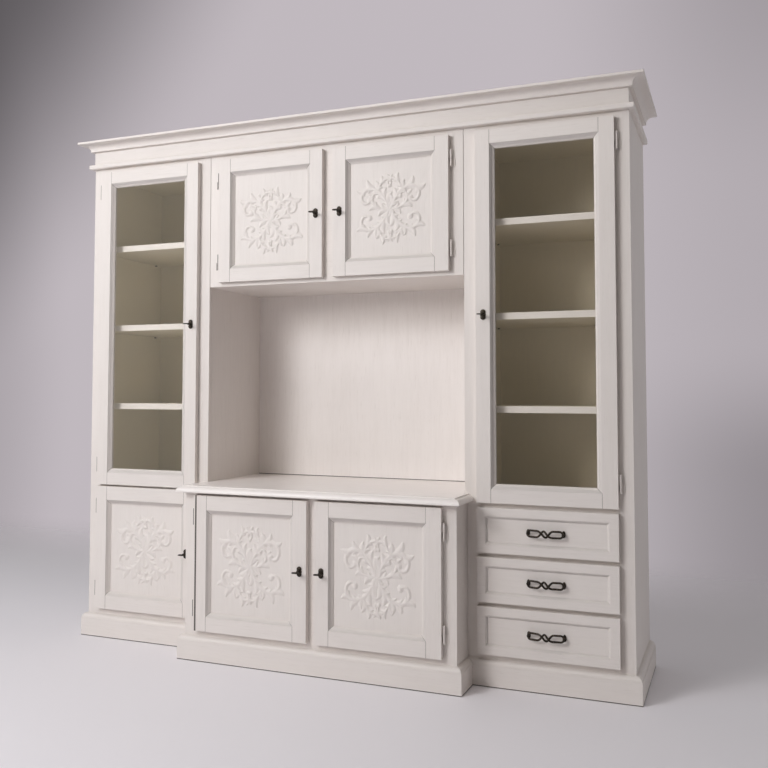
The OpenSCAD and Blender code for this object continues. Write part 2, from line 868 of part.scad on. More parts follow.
module door_lock(d) {
    color(iron) placed() at_door(d) at_lock(d) difference() {
        union() {
            slab(-plate_t, 0) escutcheon_outline();
            slab(-plate_t - collar_h, -plate_t + 0.1) circle(collar_r);
            slab(-eps, door_t + eps) circle(sleeve_r);
            board([-lock_w / 2, door_t, -lock_h / 2], [lock_w / 2, door_t + lock_t, lock_h / 2]);
        }
        slab(-plate_t - collar_h - eps, door_t + lock_t + eps) circle(key_r + key_run);
    }
}

// The key with its bow lying flat, and the cam that it turns behind the face
// frame; the cam hangs down while the door is unlocked
module door_key(d) {
    bow_y = -key_reach + bow_l / 2;
    collar_w = 2.5;
    color(iron) placed() at_door(d) at_lock(d) {
        slab(bow_y + bow_l / 2 - bow_rim, cam_y + cam_t) circle(key_r);
        translate([0, bow_y, -bow_t / 2]) linear_extrude(bow_t) bow_outline();
        for (y = [bow_y + bow_l / 2 + collar_w, -plate_t - collar_h - collar_w - 1])
            slab(y, y + collar_w) circle(key_r + 1.6);
        slab(cam_y, cam_y + cam_t) difference() {
            cam_outline(cam_l(d));
            circle(key_r + key_run);
        }
    }
}

// Two lobes side by side, each with a round hole
module bow_outline() {
    r = bow_l / 2;
    lobe_x = bow_w / 2 - r;
    difference() {
        for (side = [-1, 1]) translate([side * lobe_x, 0]) circle(r);
        for (side = [-1, 1]) translate([side * lobe_x, 0]) circle(r - bow_rim);
    }
    square([bow_rim * 0.8, bow_l - bow_rim], center = true);
}

module cam_outline(length) {
    circle(cam_w / 2);
    translate([-cam_w / 2, -length + cam_w / 2]) square([cam_w, length - cam_w / 2]);
    translate([0, -length + cam_w / 2]) circle(cam_w / 2);
}

// The hole in the door for the lock's sleeve
module lock_hole(d) {
    at_lock(d) slab(-eps, door_t + eps) circle(sleeve_r + pin_gap);
}

// Drawers
module at_drawer(z) {
    translate([right_door_x, -face_y, z]) children();
}

module drawer_front(z, h) {
    w = tower_door_w;
    b = field_border;
    color(front_paint) placed() at_drawer(z) difference() {
        cube([w, door_t, h]);
        moulded_field(moulded_line(field_slope, field_d, field_step), w, h, b, w - b, b, h - b);
    }
}

// The box behind a front: two sides, an inner front, a back and a bottom
module drawer_box(z, h) {
    x0 = lap + box_side_gap;
    x1 = tower_door_w - x0;
    z0 = lap + runner_gap;
    z1 = h - lap - box_top_gap;
    y0 = door_t;
    y1 = door_t + box_d;
    zf = z0 + box_floor_t;
    color(paint) placed() at_drawer(z) {
        board([x0, y0, z0], [x0 + box_t, y1, z1]);
        board([x1 - box_t, y0, z0], [x1, y1, z1]);
        xl = x0 + box_t + hairline;
        xr = x1 - box_t - hairline;
        board([xl, y0, z0], [xr, y0 + box_t, z1]);
        board([xl, y1 - box_t, z0], [xr, y1, z1]);
        board([xl, y0 + box_t + hairline, z0], [xr, y1 - box_t - hairline, zf]);
    }
}

// A ledge under each side of the upper boxes and a guide beside every box, on the
// tower's sides. The bottom box slides on the tower's deck.
module drawer_runners() {
    color(paint) placed() for (flip = [0, 1])
        translate([flip * (half_w + half_centre), 0, 0]) mirror([flip, 0, 0]) {
            for (z = [middle_front_z, top_front_z]) box_ledge(z + lap);
            for (z = [bottom_front_z, middle_front_z, top_front_z]) box_guide(z + lap);
        }
}

module box_ledge(top) {
    board([inner_in, frame_t, top - runner_h],
        [right_door_x + lap + box_side_gap + ledge_w, tower_back, top]);
}

module box_guide(low) {
    board([inner_in, frame_t, low + hairline],
        [right_door_x + lap + box_side_gap - runner_gap, tower_back, low + runner_h]);
}

// Pulls
// The rod is one closed line: a strand along the pull, round an end loop, and
// back along the pull. The two strands make one full turn round each other in
// the middle, which leaves one eye between two crossings.
strand_steps = 26;
loop_steps = 9;
rod_sides = 8;
strand_half = pull_l / 2 - rod_r - pull_loop / 2;

function twist_phase(x) = let (t = min(1, max(0, x / twist_l + 0.5)))
    360 * (t - 0.05 * sin(360 * t));
function twist_fade(x) = exp(-pow(x / (twist_l * 0.3), 2));
function bow_out(x) = -pull_foot - pull_bow * pow(cos(90 * x / (pull_l / 2)), 2);
function sway(x) = -twist_sway * sin(360 * x / twist_l) * twist_fade(x);

function strand_point(x, side) = let (a = twist_phase(x)) [
    x,
    bow_out(x) - side * twist_depth * sin(a),
    sway(x) + side * pull_loop / 2 * (1 - 0.2 * twist_fade(x)) * cos(a)];

function loop_point(end, a) = let (x = end * (strand_half + pull_loop / 2 * sin(a))) [
    x, bow_out(x), pull_loop / 2 * cos(a)];

// Even steps in the cube put more points where the strands twist
function strand_x(i) = let (t = 2 * i / strand_steps - 1)
    strand_half * (0.72 * t + 0.28 * pow(t, 3));

rod_line = concat(
    [for (i = [0:strand_steps]) strand_point(strand_x(i), 1)],
    [for (i = [1:loop_steps]) loop_point(1, 180 * i / (loop_steps + 1))],
    [for (i = [strand_steps:-1:0]) strand_point(strand_x(i), -1)],
    [for (i = [1:loop_steps]) loop_point(-1, 180 - 180 * i / (loop_steps + 1))]);

function unit(v) = v / norm(v);

// A ring of points round point i of a closed line
function ring(line, i, r) = let (
    n = len(line),
    along = unit(line[(i + 1) % n] - line[(i + n - 1) % n]),
    across = unit(cross(along, [0, 1, 0])),
    up = cross(along, across))
    [for (k = [0:rod_sides - 1]) line[i]
        + r * cos(360 * k / rod_sides) * across + r * sin(360 * k / rod_sides) * up];

module closed_tube(line, r) {
    n = len(line);
    points = [for (i = [0:n - 1]) each ring(line, i, r)];
    faces = [for (i = [0:n - 1], k = [0:rod_sides - 1]) let (
        j = (i + 1) % n,
        m = (k + 1) % rod_sides)
        each [[i * rod_sides + k, j * rod_sides + m, i * rod_sides + m],
            [i * rod_sides + k, j * rod_sides + k, j * rod_sides + m]]];
    polyhedron(points = points, faces = faces);
}

// An upright oval
module post_plate() {
    r = post_plate_w / 2;
    end = post_plate_h / 2 - r;
    square([post_plate_w, 2 * end], center = true);
    for (side = [-1, 1]) translate([0, side * end]) circle(r);
}

module drawer_pull(z, h) {
    post_x = pull_l / 2 - rod_r;
    color(iron) placed() at_drawer(z) translate([tower_door_w / 2, field_d, h / 2]) union() {
        closed_tube(rod_line, rod_r);
        for (side = [-1, 1]) translate([side * post_x, 0, 0]) {
            slab(-pull_foot, 0) circle(post_r);
            slab(-post_plate_t, 0) post_plate();
        }
    }
}

tower_sides();
tower_decks();
left_face_frame();
right_face_frame();
upper_case();
upper_face_frame();
base_case();
base_face_frame();
back_panels();
worktop();
frieze();
bead();
cornice();
dust_cover();
left_plinth();
centre_plinth();
right_plinth();
shelves();
shelf_pins();
drawer_runners();
frame_hinge_halves();
door_frame(left_glass, true);  // left_glass_door_frame
door_pane(left_glass);  // left_glass_door_pane
door_lock(left_glass);  // left_glass_door_lock
door_key(left_glass);  // left_glass_door_key
door_frame(left_lower, false);  // left_lower_door_frame
door_panel(left_lower);  // left_lower_door_panel
door_lock(left_lower);  // left_lower_door_lock
door_key(left_lower);  // left_lower_door_key
door_frame(upper_left, false);  // upper_left_door_frame
door_panel(upper_left);  // upper_left_door_panel
door_lock(upper_left);  // upper_left_door_lock
door_key(upper_left);  // upper_left_door_key
door_frame(upper_right, false);  // upper_right_door_frame
door_panel(upper_right);  // upper_right_door_panel
door_lock(upper_right);  // upper_right_door_lock
door_key(upper_right);  // upper_right_door_key
door_frame(base_left, false);  // base_left_door_frame
door_panel(base_left);  // base_left_door_panel
door_lock(base_left);  // base_left_door_lock
door_key(base_left);  // base_left_door_key
door_frame(base_right, false);  // base_right_door_frame
door_panel(base_right);  // base_right_door_panel
door_lock(base_right);  // base_right_door_lock
door_key(base_right);  // base_right_door_key
door_frame(right_glass, true);  // right_glass_door_frame
door_pane(right_glass);  // right_glass_door_pane
door_lock(right_glass);  // right_glass_door_lock
door_key(right_glass);  // right_glass_door_key
drawer_front(top_front_z, top_front_h);  // top_drawer_front
drawer_box(top_front_z, top_front_h);  // top_drawer_box
drawer_pull(top_front_z, top_front_h);  // top_drawer_pull
drawer_front(middle_front_z, middle_front_h);  // middle_drawer_front
drawer_box(middle_front_z, middle_front_h);  // middle_drawer_box
drawer_pull(middle_front_z, middle_front_h);  // middle_drawer_pull
drawer_front(bottom_front_z, bottom_front_h);  // bottom_drawer_front
drawer_box(bottom_front_z, bottom_front_h);  // bottom_drawer_box
drawer_pull(bottom_front_z, bottom_front_h);  // bottom_drawer_pull
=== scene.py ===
import math

import bmesh
import bpy
import numpy as np
from mathutils import Matrix, Vector


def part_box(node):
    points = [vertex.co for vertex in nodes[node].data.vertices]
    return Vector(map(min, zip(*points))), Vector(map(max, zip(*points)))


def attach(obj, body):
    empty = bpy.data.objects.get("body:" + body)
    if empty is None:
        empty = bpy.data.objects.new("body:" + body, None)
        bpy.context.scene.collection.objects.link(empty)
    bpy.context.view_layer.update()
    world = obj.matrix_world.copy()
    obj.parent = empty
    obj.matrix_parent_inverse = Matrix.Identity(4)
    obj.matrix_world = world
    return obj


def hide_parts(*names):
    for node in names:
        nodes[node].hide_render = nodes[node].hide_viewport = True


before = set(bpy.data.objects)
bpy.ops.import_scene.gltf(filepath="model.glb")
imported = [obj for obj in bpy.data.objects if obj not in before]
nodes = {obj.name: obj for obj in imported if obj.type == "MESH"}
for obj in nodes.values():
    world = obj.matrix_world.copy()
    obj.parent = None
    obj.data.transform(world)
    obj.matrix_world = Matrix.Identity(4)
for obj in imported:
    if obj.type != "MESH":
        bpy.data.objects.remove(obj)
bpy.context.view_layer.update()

print("frame loaded:", len(nodes), "nodes")


# Node trees written as expressions
class Wire:
    # a socket; arithmetic on it adds Math nodes to its tree
    def __init__(self, graph, socket):
        self.graph = graph
        self.socket = socket

    def also(self, name):  # another output of the same node
        return Wire(self.graph, self.socket.node.outputs[name])

    def __add__(self, other):
        return self.graph.maths("ADD", self, other)

    def __sub__(self, other):
        return self.graph.maths("SUBTRACT", self, other)

    def __rsub__(self, other):
        return self.graph.maths("SUBTRACT", other, self)

    def __mul__(self, other):
        return self.graph.maths("MULTIPLY", self, other)

    def __truediv__(self, other):
        return self.graph.maths("DIVIDE", self, other)

    def __gt__(self, other):
        return self.graph.maths("GREATER_THAN", self, other)

    def __lt__(self, other):
        return self.graph.maths("LESS_THAN", self, other)

    __radd__ = __add__
    __rmul__ = __mul__


class Graph:
    def __init__(self, tree):
        self.tree = tree
        tree.nodes.clear()

    def node(self, kind, settings=None, sockets=None, out=0):
        made = self.tree.nodes.new(kind)
        for name, value in (settings or {}).items():
            setattr(made, name, value)
        for name, value in (sockets or {}).items():
            if isinstance(value, Wire):
                self.tree.links.new(value.socket, made.inputs[name])
            else:
                made.inputs[name].default_value = value
        return Wire(self, made.outputs[out]) if len(made.outputs) else made

    def maths(self, operation, *values):
        return self.node("ShaderNodeMath", {"operation": operation}, dict(enumerate(values)))

    def smooth(self, value, low, high):  # 0 below low, 1 above high
        return self.node("ShaderNodeMapRange", {"interpolation_type": "SMOOTHSTEP"},
                         {"Value": value, "From Min": low, "From Max": high})

    def blend(self, mask, first, second, kind="RGBA"):
        a, b, out = {"VECTOR": (4, 5, 1), "RGBA": (6, 7, 2)}[kind]  # sockets of the Mix node
        return self.node("ShaderNodeMix", {"data_type": kind}, {0: mask, a: first, b: second}, out)


def axes(g, place):
    x = g.node("ShaderNodeSeparateXYZ", None, {0: place}, "X")
    return x, x.also("Y"), x.also("Z")


def newMaterial(name):
    material = bpy.data.materials.new(name)
    material.use_nodes = True
    return material, Graph(material.node_tree)


def softEdge(g, radius):
    return g.node("ShaderNodeBevel", {"samples": 4}, {"Radius": radius})


# Camera
camera = {
    "place": (1.473, -3.4569, 1.0353),
    "yaw": 23.302,  # degrees to the left of straight ahead
    "pitch": 2.916,
    "roll": 0.160,
    "lens": 43.361,
    "shift": (0.0573, -0.0460),
}


def makeCamera():
    data = bpy.data.cameras.new("camera")
    data.lens = camera["lens"]
    data.shift_x, data.shift_y = camera["shift"]
    eye = bpy.data.objects.new("camera", data)
    bpy.context.collection.objects.link(eye)
    turn = Matrix.Rotation(math.radians(camera["yaw"]), 4, "Z")
    tilt = Matrix.Rotation(math.radians(90 + camera["pitch"]), 4, "X")
    roll = Matrix.Rotation(math.radians(camera["roll"]), 4, "Z")
    eye.matrix_world = Matrix.Translation(camera["place"]) @ turn @ tilt @ roll
    bpy.context.scene.camera = eye


# Studio: a pale floor that fades into the backdrop, large soft lamps and a bright wall behind
studio = {
    "floorColour": (0.88, 0.855, 0.885),
    "floorRadius": 9.0,
    "floorSink": 0.0004,  # a hair below the plinths
    "floorRoughness": 0.6,
    "floorShine": 0.25,
    "fadeSide": (3.6, 6.5),  # where the floor fades into the backdrop, from the middle
    "fadeBack": (0.9, 3.0),  # and behind the unit
    "backdrop": (0.53, 0.485, 0.518),
    "cornerShade": 0.78,  # how dark the upper left of the backdrop gets
    "cornerTilt": 0.7,  # how much its height counts against its side
    "cornerFrom": (0.70, 0.92),  # each of these pairs gives where a change starts and ends
    "cornerDepth": (0.35, 0.65),
    "leftShade": 0.22,
    "leftFrom": (-0.63, -0.70),
    "rightShade": 0.16,
    "rightFrom": (-0.20, 0.05),
    "topRightShade": 0.16,
    "topRightFrom": (0.2, 0.4),
    "lowRightShade": 0.28,
    "lowRightFrom": (0.06, -0.08),
    "wallColour": (1.0, 0.975, 0.985),
    "wallStrength": 0.80,  # light from the wall behind
    "wallFrom": (-0.2, 0.2),
    "topStrength": 0.12,
    "topFrom": (0.5, 0.8),
    "frontColour": (0.60, 0.54, 0.42),  # what a pane mirrors of the room in front
    "frontLeftColour": (1.55, 1.45, 1.22),  # and further to the left, where the light comes from
    "frontLeftFrom": (0.2, 0.65),
}
lamps = {  # name: (place, size, power, colour)
    "key_lamp": ((-2.0, -3.5, 3.0), 1.3, 45.0, (1.0, 1.02, 1.07)),
    "front_lamp": ((-1.9, -4.6, 2.7), 1.8, 82.0, (1.0, 0.97, 0.955)),
    "side_lamp": ((-6.0, -4.0, 3.3), 3.0, 56.0, (1.0, 1.05, 1.11)),
    "top_lamp": ((0.2, -1.7, 4.4), 2.5, 26.0, (1.0, 0.97, 0.95)),
}
lampAim = (0.0, 0.0, 1.0)


def linkObject(name, mesh):
    made = bpy.data.objects.new(name, mesh)
    bpy.context.collection.objects.link(made)
    return made


def makeFloor():
    mesh = bpy.data.meshes.new("floor")
    shape = bmesh.new()
    bmesh.ops.create_circle(shape, cap_ends=True, segments=96, radius=studio["floorRadius"])
    shape.to_mesh(mesh)
    shape.free()
    floor = linkObject("floor", mesh)
    floor.location.z = -studio["floorSink"]
    material, g = newMaterial("studio_floor")
    place = g.node("ShaderNodeTexCoord", out="Object")
    away = g.node("ShaderNodeVectorMath", {"operation": "LENGTH"}, {0: place}, "Value")
    behind = g.node("ShaderNodeSeparateXYZ", None, {0: place}, "Y")
    fade = g.maths("MAXIMUM", g.smooth(away, *studio["fadeSide"]),
                   g.smooth(behind, *studio["fadeBack"]))
    surface = g.node("ShaderNodeBsdfPrincipled", None, {
        "Base Color": (*studio["floorColour"], 1), "Roughness": studio["floorRoughness"],
        "Specular IOR Level": studio["floorShine"]})
    clear = g.node("ShaderNodeBsdfTransparent")
    mixed = g.node("ShaderNodeMixShader", None, {0: fade, 1: surface, 2: clear})
    g.node("ShaderNodeOutputMaterial", None, {"Surface": mixed})
    mesh.materials.append(material)


def makeWorld():
    world = bpy.data.worlds.new("studio")
    bpy.context.scene.world = world
    world.use_nodes = True
    g = Graph(world.node_tree)
    path = g.node("ShaderNodeLightPath", out="Is Camera Ray")
    mirrored = path.also("Is Glossy Ray")
    seen = g.maths("MAXIMUM", path, path.also("Is Transmission Ray"))
    seen = g.maths("MAXIMUM", seen, mirrored)
    x, y, z = axes(g, g.node("ShaderNodeTexCoord", out="Generated"))
    behind = g.smooth(y, *studio["wallFrom"])
    corner = g.smooth(z * studio["cornerTilt"] - x, *studio["cornerFrom"])
    corner = corner * g.smooth(y, *studio["cornerDepth"]) * studio["cornerShade"]
    left = g.smooth(x, *studio["leftFrom"]) * studio["leftShade"]
    right = g.smooth(x, *studio["rightFrom"]) * (
        g.smooth(z, *studio["lowRightFrom"]) * studio["lowRightShade"]
        + g.smooth(z, *studio["topRightFrom"]) * studio["topRightShade"] + studio["rightShade"])
    shade = (1.0 - corner) * (1.0 - left) * (1.0 - right)
    backdrop = g.node("ShaderNodeVectorMath", {"operation": "SCALE"}, {
        0: studio["backdrop"], "Scale": shade})
    room = g.blend(g.smooth(-1.0 * x, *studio["frontLeftFrom"]), (*studio["frontColour"], 1),
                   (*studio["frontLeftColour"], 1))
    backdrop = g.blend(mirrored * (1.0 - behind), backdrop, room)
    top = g.smooth(z, *studio["topFrom"])
    strength = (1.0 - top) * behind * studio["wallStrength"] + top * studio["topStrength"]
    sky = g.node("ShaderNodeBackground", None, {
        "Color": (*studio["wallColour"], 1), "Strength": strength})
    wall = g.node("ShaderNodeBackground", None, {"Color": backdrop, "Strength": 1.0})
    mixed = g.node("ShaderNodeMixShader", None, {0: seen, 1: sky, 2: wall})
    g.node("ShaderNodeOutputWorld", None, {"Surface": mixed})


def makeLamps():
    for name, (place, size, power, colour) in lamps.items():
        data = bpy.data.lights.new(name, "AREA")
        data.shape = "DISK"
        data.size = size
        data.energy = power
        data.color = colour
        lamp = bpy.data.objects.new(name, data)
        bpy.context.collection.objects.link(lamp)
        lamp.location = place
        toward = Vector(lampAim) - Vector(place)
        lamp.rotation_euler = toward.to_track_quat("-Z", "Y").to_euler()


makeCamera()
makeFloor()
makeWorld()
makeLamps()
bpy.context.scene.view_settings.view_transform = "Standard"
print("camera and studio made")


# Painted wood: satin paint over open grain, with softened edges and a hint of wear
paint = {
    "tone": (0.800, 0.748, 0.710),
    "paintedLightTone": (0.925, 0.875, 0.845),  # painted light for the smooth boards of the middle bay: a paler copy of the paint standing in for the light that fills the niche and falls on the worktop
    "dullTone": (0.60, 0.545, 0.50),
    "grainDepth": 0.10,  # how far grain, patches and pores dull the tone
    "grainFrom": (0.35, 0.75),
    "patchDepth": 0.06,
    "patchFrom": (0.4, 0.8),
    "poreDepth": 0.18,
    "poreFrom": (0.60, 0.74),
    "innerTone": (0.76, 0.69, 0.56),  # inside the glazed cupboards
    "seamTone": (0.17, 0.145, 0.125),
    "seamDepth": 0.85,
    # the colour of painted shade along the feet, in the niche's corner and beside hinge barrels
    "paintedShadeTone": (0.10, 0.085, 0.075),
    "stretch": 14.0,  # how much longer than wide the grain is
    "standingShift": (0.37, 0.11, 0.53),  # so that stiles and rails differ in grain
    "grainScale": 95.0,
    "poreScale": 260.0,
    "brushScale": 420.0,
    "patchScale": 3.2,
    "roughness": 0.46,
    "paleRoughness": 0.27,
    "grainRoughness": 0.08,
    "poreRoughness": 0.12,
    "shine": 0.42,
    "bumpStrength": 0.55,
    "bumpDepth": 0.00022,
    "grainHeight": 0.55,
    "brushHeight": 0.25,
    "poreHeight": 0.5,
    "seamHeight": 2.0,
    "edgeRadius": 0.0012,
    "seamWidth": 0.0007,
    "fallWidth": 0.0105,  # the outer part of a door's moulded edge, which falls away faster
    "fallSlope": 0.8,
    "fieldBorder": 0.031,  # flat border of a drawer front round its sunk field
    "fieldWidth": 0.009,
    "fieldSlope": 0.5,
    # width of the painted shade lines at the foot of the plinths and of the niche
    "paintedShadeWidth": 0.003,
    "paintedShadeDrop": 0.01,  # how far it reaches down behind the worktop
    "boardSkin": 0.006,  # how far in from a board's outer face the inner finish starts
    "shelfLip": 0.004,
}
nicheHalf = 0.545  # half the width of the middle bay


def grainCoordinates(g, place, vertical, along):
    squeeze = 1 / paint["stretch"]
    scales = {"x": (squeeze, 1, 1), "y": (1, squeeze, 1), "z": (1, 1, squeeze)}
    lying = g.node("ShaderNodeMapping", None, {"Vector": place, "Scale": scales[along]})
    if vertical is None:
        return lying
    standing = g.node("ShaderNodeMapping", None, {
        "Vector": place, "Scale": scales["z"], "Location": paint["standingShift"]})
    return g.blend(vertical, lying, standing, "VECTOR")


def noise(g, vector, scale, detail=2.0, roughness=0.5):
    return g.node("ShaderNodeTexNoise", None, {
        "Vector": vector, "Scale": scale, "Detail": detail, "Roughness": roughness}, 0)


def paintedWood(name, along="x", layout=None, inner=None, paintedShade=None, smooth=False):
    # layout gives the masks (standing grain, joint line, fall of the moulded edge) of a frame of
    # boards, inner the mask of the faces inside a cupboard, and the mask after it the painted shade
    # of a dark corner, foot or hinge side; a smooth board is glossier, and paler as painted light
    material, g = newMaterial(name)
    place = g.node("ShaderNodeTexCoord", out="Object")
    vertical, seam, fall = layout(g, place) if layout else (None, None, None)
    grain = grainCoordinates(g, place, vertical, along)
    figure = noise(g, grain, paint["grainScale"], detail=3.0, roughness=0.6)
    pores = g.smooth(noise(g, grain, paint["poreScale"]), *paint["poreFrom"])
    brush = noise(g, grain, paint["brushScale"])
    patch = noise(g, place, paint["patchScale"])
    # painted light: a smooth board takes the paler tone, standing in for the light that fills the
    # niche
    colour = (*paint["paintedLightTone" if smooth else "tone"], 1)
    if inner is not None:
        colour = g.blend(inner(g, place), colour, (*paint["innerTone"], 1))
    dull = g.smooth(figure, *paint["grainFrom"]) * paint["grainDepth"]
    dull = dull + g.smooth(patch, *paint["patchFrom"]) * paint["patchDepth"]
    dull = dull + pores * paint["poreDepth"]
    colour = g.blend(dull, colour, (*paint["dullTone"], 1))
    height = figure * paint["grainHeight"] + brush * paint["brushHeight"]
    height = height - pores * paint["poreHeight"]
    if seam is not None:
        colour = g.blend(seam * paint["seamDepth"], colour, (*paint["seamTone"], 1))
        height = height - seam * paint["seamHeight"]
    # painted shade: the masked corner, foot or hinge side is darkened towards the shade tone
    if paintedShade is not None:
        colour = g.blend(paintedShade(g, place), colour, (*paint["paintedShadeTone"], 1))
    edge = softEdge(g, paint["edgeRadius"])
    if fall is not None:
        edge = g.node("ShaderNodeBump", None, {
            "Strength": 1.0, "Distance": 1.0, "Height": fall, "Normal": edge})
    bump = g.node("ShaderNodeBump", None, {
        "Strength": paint["bumpStrength"], "Distance": paint["bumpDepth"], "Height": height,
        "Normal": edge})
    rough = paint["paleRoughness" if smooth else "roughness"] + figure * paint["grainRoughness"]
    rough = rough + pores * paint["poreRoughness"]
    surface = g.node("ShaderNodeBsdfPrincipled", None, {
        "Base Color": colour, "Roughness": rough, "Normal": bump,
        "Specular IOR Level": paint["shine"]})
    g.node("ShaderNodeOutputMaterial", None, {"Surface": surface})
    return material


def doorLayout(middle, half, centre, halfHigh):
    # stiles run full height, rails lie between them, and the moulded edge is mitred
    def masks(g, place):
        x, y, z = axes(g, place)
        across = g.maths("ABSOLUTE", x - middle) - half
        upward = g.maths("ABSOLUTE", z - centre) - halfHigh
        off = across - g.maths("MINIMUM", upward, 0.0)
        inward = g.maths("MINIMUM", g.maths("MAXIMUM", across, upward), 0.0)
        fall = g.maths("MAXIMUM", inward, -paint["fallWidth"]) * paint["fallSlope"]
        return off > 0.0, g.maths("ABSOLUTE", off) < paint["seamWidth"], fall
    return masks


def drawerLayout(low, high):
    # the moulded edge round a drawer's sunk field
    def masks(g, place):
        x, y, z = axes(g, place)
        across = g.maths("ABSOLUTE", x - (low.x + high.x) / 2) - (high.x - low.x) / 2
        upward = g.maths("ABSOLUTE", z - (low.z + high.z) / 2) - (high.z - low.z) / 2
        inward = g.maths("MINIMUM", g.maths("MAXIMUM", across, upward) + paint["fieldBorder"], 0.0)
        return None, None, g.maths("MAXIMUM", inward, -paint["fieldWidth"]) * paint["fieldSlope"]
    return masks


def frameLayout(middle, half):
    # everything further than half from the middle is an upright
    def masks(g, place):
        x, y, z = axes(g, place)
        return g.maths("ABSOLUTE", x - middle) > half, None, None
    return masks


def dress(name, material):
    piece = nodes[name]
    piece.data.materials.clear()
    piece.data.materials.append(material)


# Doors: flat widths of stiles, top rails and low rails, without the moulded edge
doors = {
    "left_glass_door": (0.0535, 0.052, 0.051),
    "right_glass_door": (0.0535, 0.052, 0.051),
    "left_lower_door": (0.0535, 0.058, 0.058),
    "upper_left_door": (0.054, 0.054, 0.054),
    "upper_right_door": (0.054, 0.054, 0.054),
    "base_left_door": (0.057, 0.057, 0.057),
    "base_right_door": (0.057, 0.057, 0.057),
}
hingeReach = 0.011  # how far a hinge stands out beside its door
hingeShadowStart = 0.0035  # where the painted shadow beside a hinge's barrel starts and ends
hingeShadowEnd = 0.0108
plateStand = 0.0046  # how far the collar of a lock stands out in front of its door


def doorFace(door):
    # a lock's plate and collar stand in front of the door
    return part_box(door + "_lock")[0].y + plateStand


def doorLines(door):
    low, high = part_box(door + "_frame")
    lockLow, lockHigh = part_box(door + "_lock")
    left, right = low.x, high.x
    if (lockLow.x + lockHigh.x) / 2 > (left + right) / 2:
        left += hingeReach
    else:
        right -= hingeReach
    return left, right, low.z, high.z


def paintedHingeShadow(g, place):
    # the painted shadow beside the barrels of the doors that hang on their left side
    x, y, z = axes(g, place)
    mask = 0.0
    for door in doors:
        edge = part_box(door + "_frame")[0].x
        if doorLines(door)[0] > edge:
            mask = (x > edge + hingeShadowStart) * (x < edge + hingeShadowEnd) + mask
    return mask


def dressDoors():
    for door, (stile, topRail, lowRail) in doors.items():
        left, right, bottom, top = doorLines(door)
        layout = doorLayout((left + right) / 2, (right - left) / 2 - stile,
                            (bottom + lowRail + top - topRail) / 2,
                            (top - topRail - bottom - lowRail) / 2)
        # a left-hung door's frame and barrel carry the painted shadow beside the barrel
        dress(door + "_frame", paintedWood(door + "_paint", "x", layout, None, paintedHingeShadow))


def betweenSides(g, place):
    # faces inside the two towers, and not the outer faces of their boards
    x, y, z = axes(g, place)
    off = g.maths("ABSOLUTE", x)
    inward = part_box("tower_sides")[1].x - paint["boardSkin"]
    return (off > nicheHalf + paint["boardSkin"]) * (off < inward)


def insideBack(g, place):
    x, y, z = axes(g, place)
    low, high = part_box("back_panels")
    return betweenSides(g, place) * (y < high.y - paint["boardSkin"] / 2)


def shelfBody(g, place):
    x, y, z = axes(g, place)
    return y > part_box("shelves")[0].y + paint["shelfLip"]


# painted shade: a dark line along the foot of the plinths, where they stand on the floor
def paintedFootShadow(g, place):
    x, y, z = axes(g, place)
    return z < paint["paintedShadeWidth"]


# painted shade: a dark line where the back of the niche meets the worktop, reaching a little down
# behind it
def paintedNicheFootShadow(g, place):
    x, y, z = axes(g, place)
    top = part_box("worktop")[1].z
    line = (z < top + paint["paintedShadeWidth"]) * (z > top - paint["paintedShadeDrop"])
    return line * (g.maths("ABSOLUTE", x) < nicheHalf)


uprights = {  # width of the stiles of each face frame
    "left_face_frame": 0.0615,
    "right_face_frame": 0.0615,
    "upper_face_frame": 0.064,
    "base_face_frame": 0.062,
}


def dressCase():
    lying = paintedWood("case_paint_lying", "x")
    dress("tower_sides", paintedWood("side_paint", "z", None, betweenSides))
    dress("tower_decks", paintedWood("deck_paint", "x", None, betweenSides))
    # the back boards and the worktop are smooth: their paler tone is painted light, and the back
    # boards carry painted shade at the niche's foot
    dress("back_panels", paintedWood("back_paint", "z", None, insideBack, paintedNicheFootShadow, True))
    dress("worktop", paintedWood("worktop_paint", "x", None, None, None, True))
    dress("shelves", paintedWood("shelf_paint", "x", None, shelfBody))
    for name in ("upper_case", "base_case", "frieze", "bead", "cornice", "dust_cover"):
        dress(name, lying)
    plinth = paintedWood("plinth_paint", "x", None, None, paintedFootShadow)
    for side in ("left", "centre", "right"):
        dress(side + "_plinth", plinth)
    for drawer in ("top", "middle", "bottom"):
        layout = drawerLayout(*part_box(drawer + "_drawer_front"))
        dress(drawer + "_drawer_front", paintedWood(drawer + "_drawer_paint", "x", layout))
    for name, upright in uprights.items():
        low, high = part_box(name)
        half = (high.x - low.x) / 2 - upright
        dress(name, paintedWood(name + "_paint", "x", frameLayout((low.x + high.x) / 2, half)))
    # the hinge halves carry the painted shadow beside the barrels of left-hung doors
    dress("frame_hinge_halves", paintedWood("hinge_paint", "z", None, None, paintedHingeShadow))


# Wrought iron: nearly black, hammered, rubbed brown on high spots
iron = {
    "tone": (0.022, 0.018, 0.015),
    "rubbedTone": (0.075, 0.058, 0.044),
    "hammerScale": 180.0,
    "rubbedFrom": (0.45, 0.75),
    "speckScale": 900.0,
    "speckHeight": 0.2,
    "speckRoughness": 0.2,
    "metallic": 0.75,
    "roughness": 0.42,
    "edgeRadius": 0.0005,
    "bumpStrength": 0.6,
    "bumpDepth": 0.0004,
}


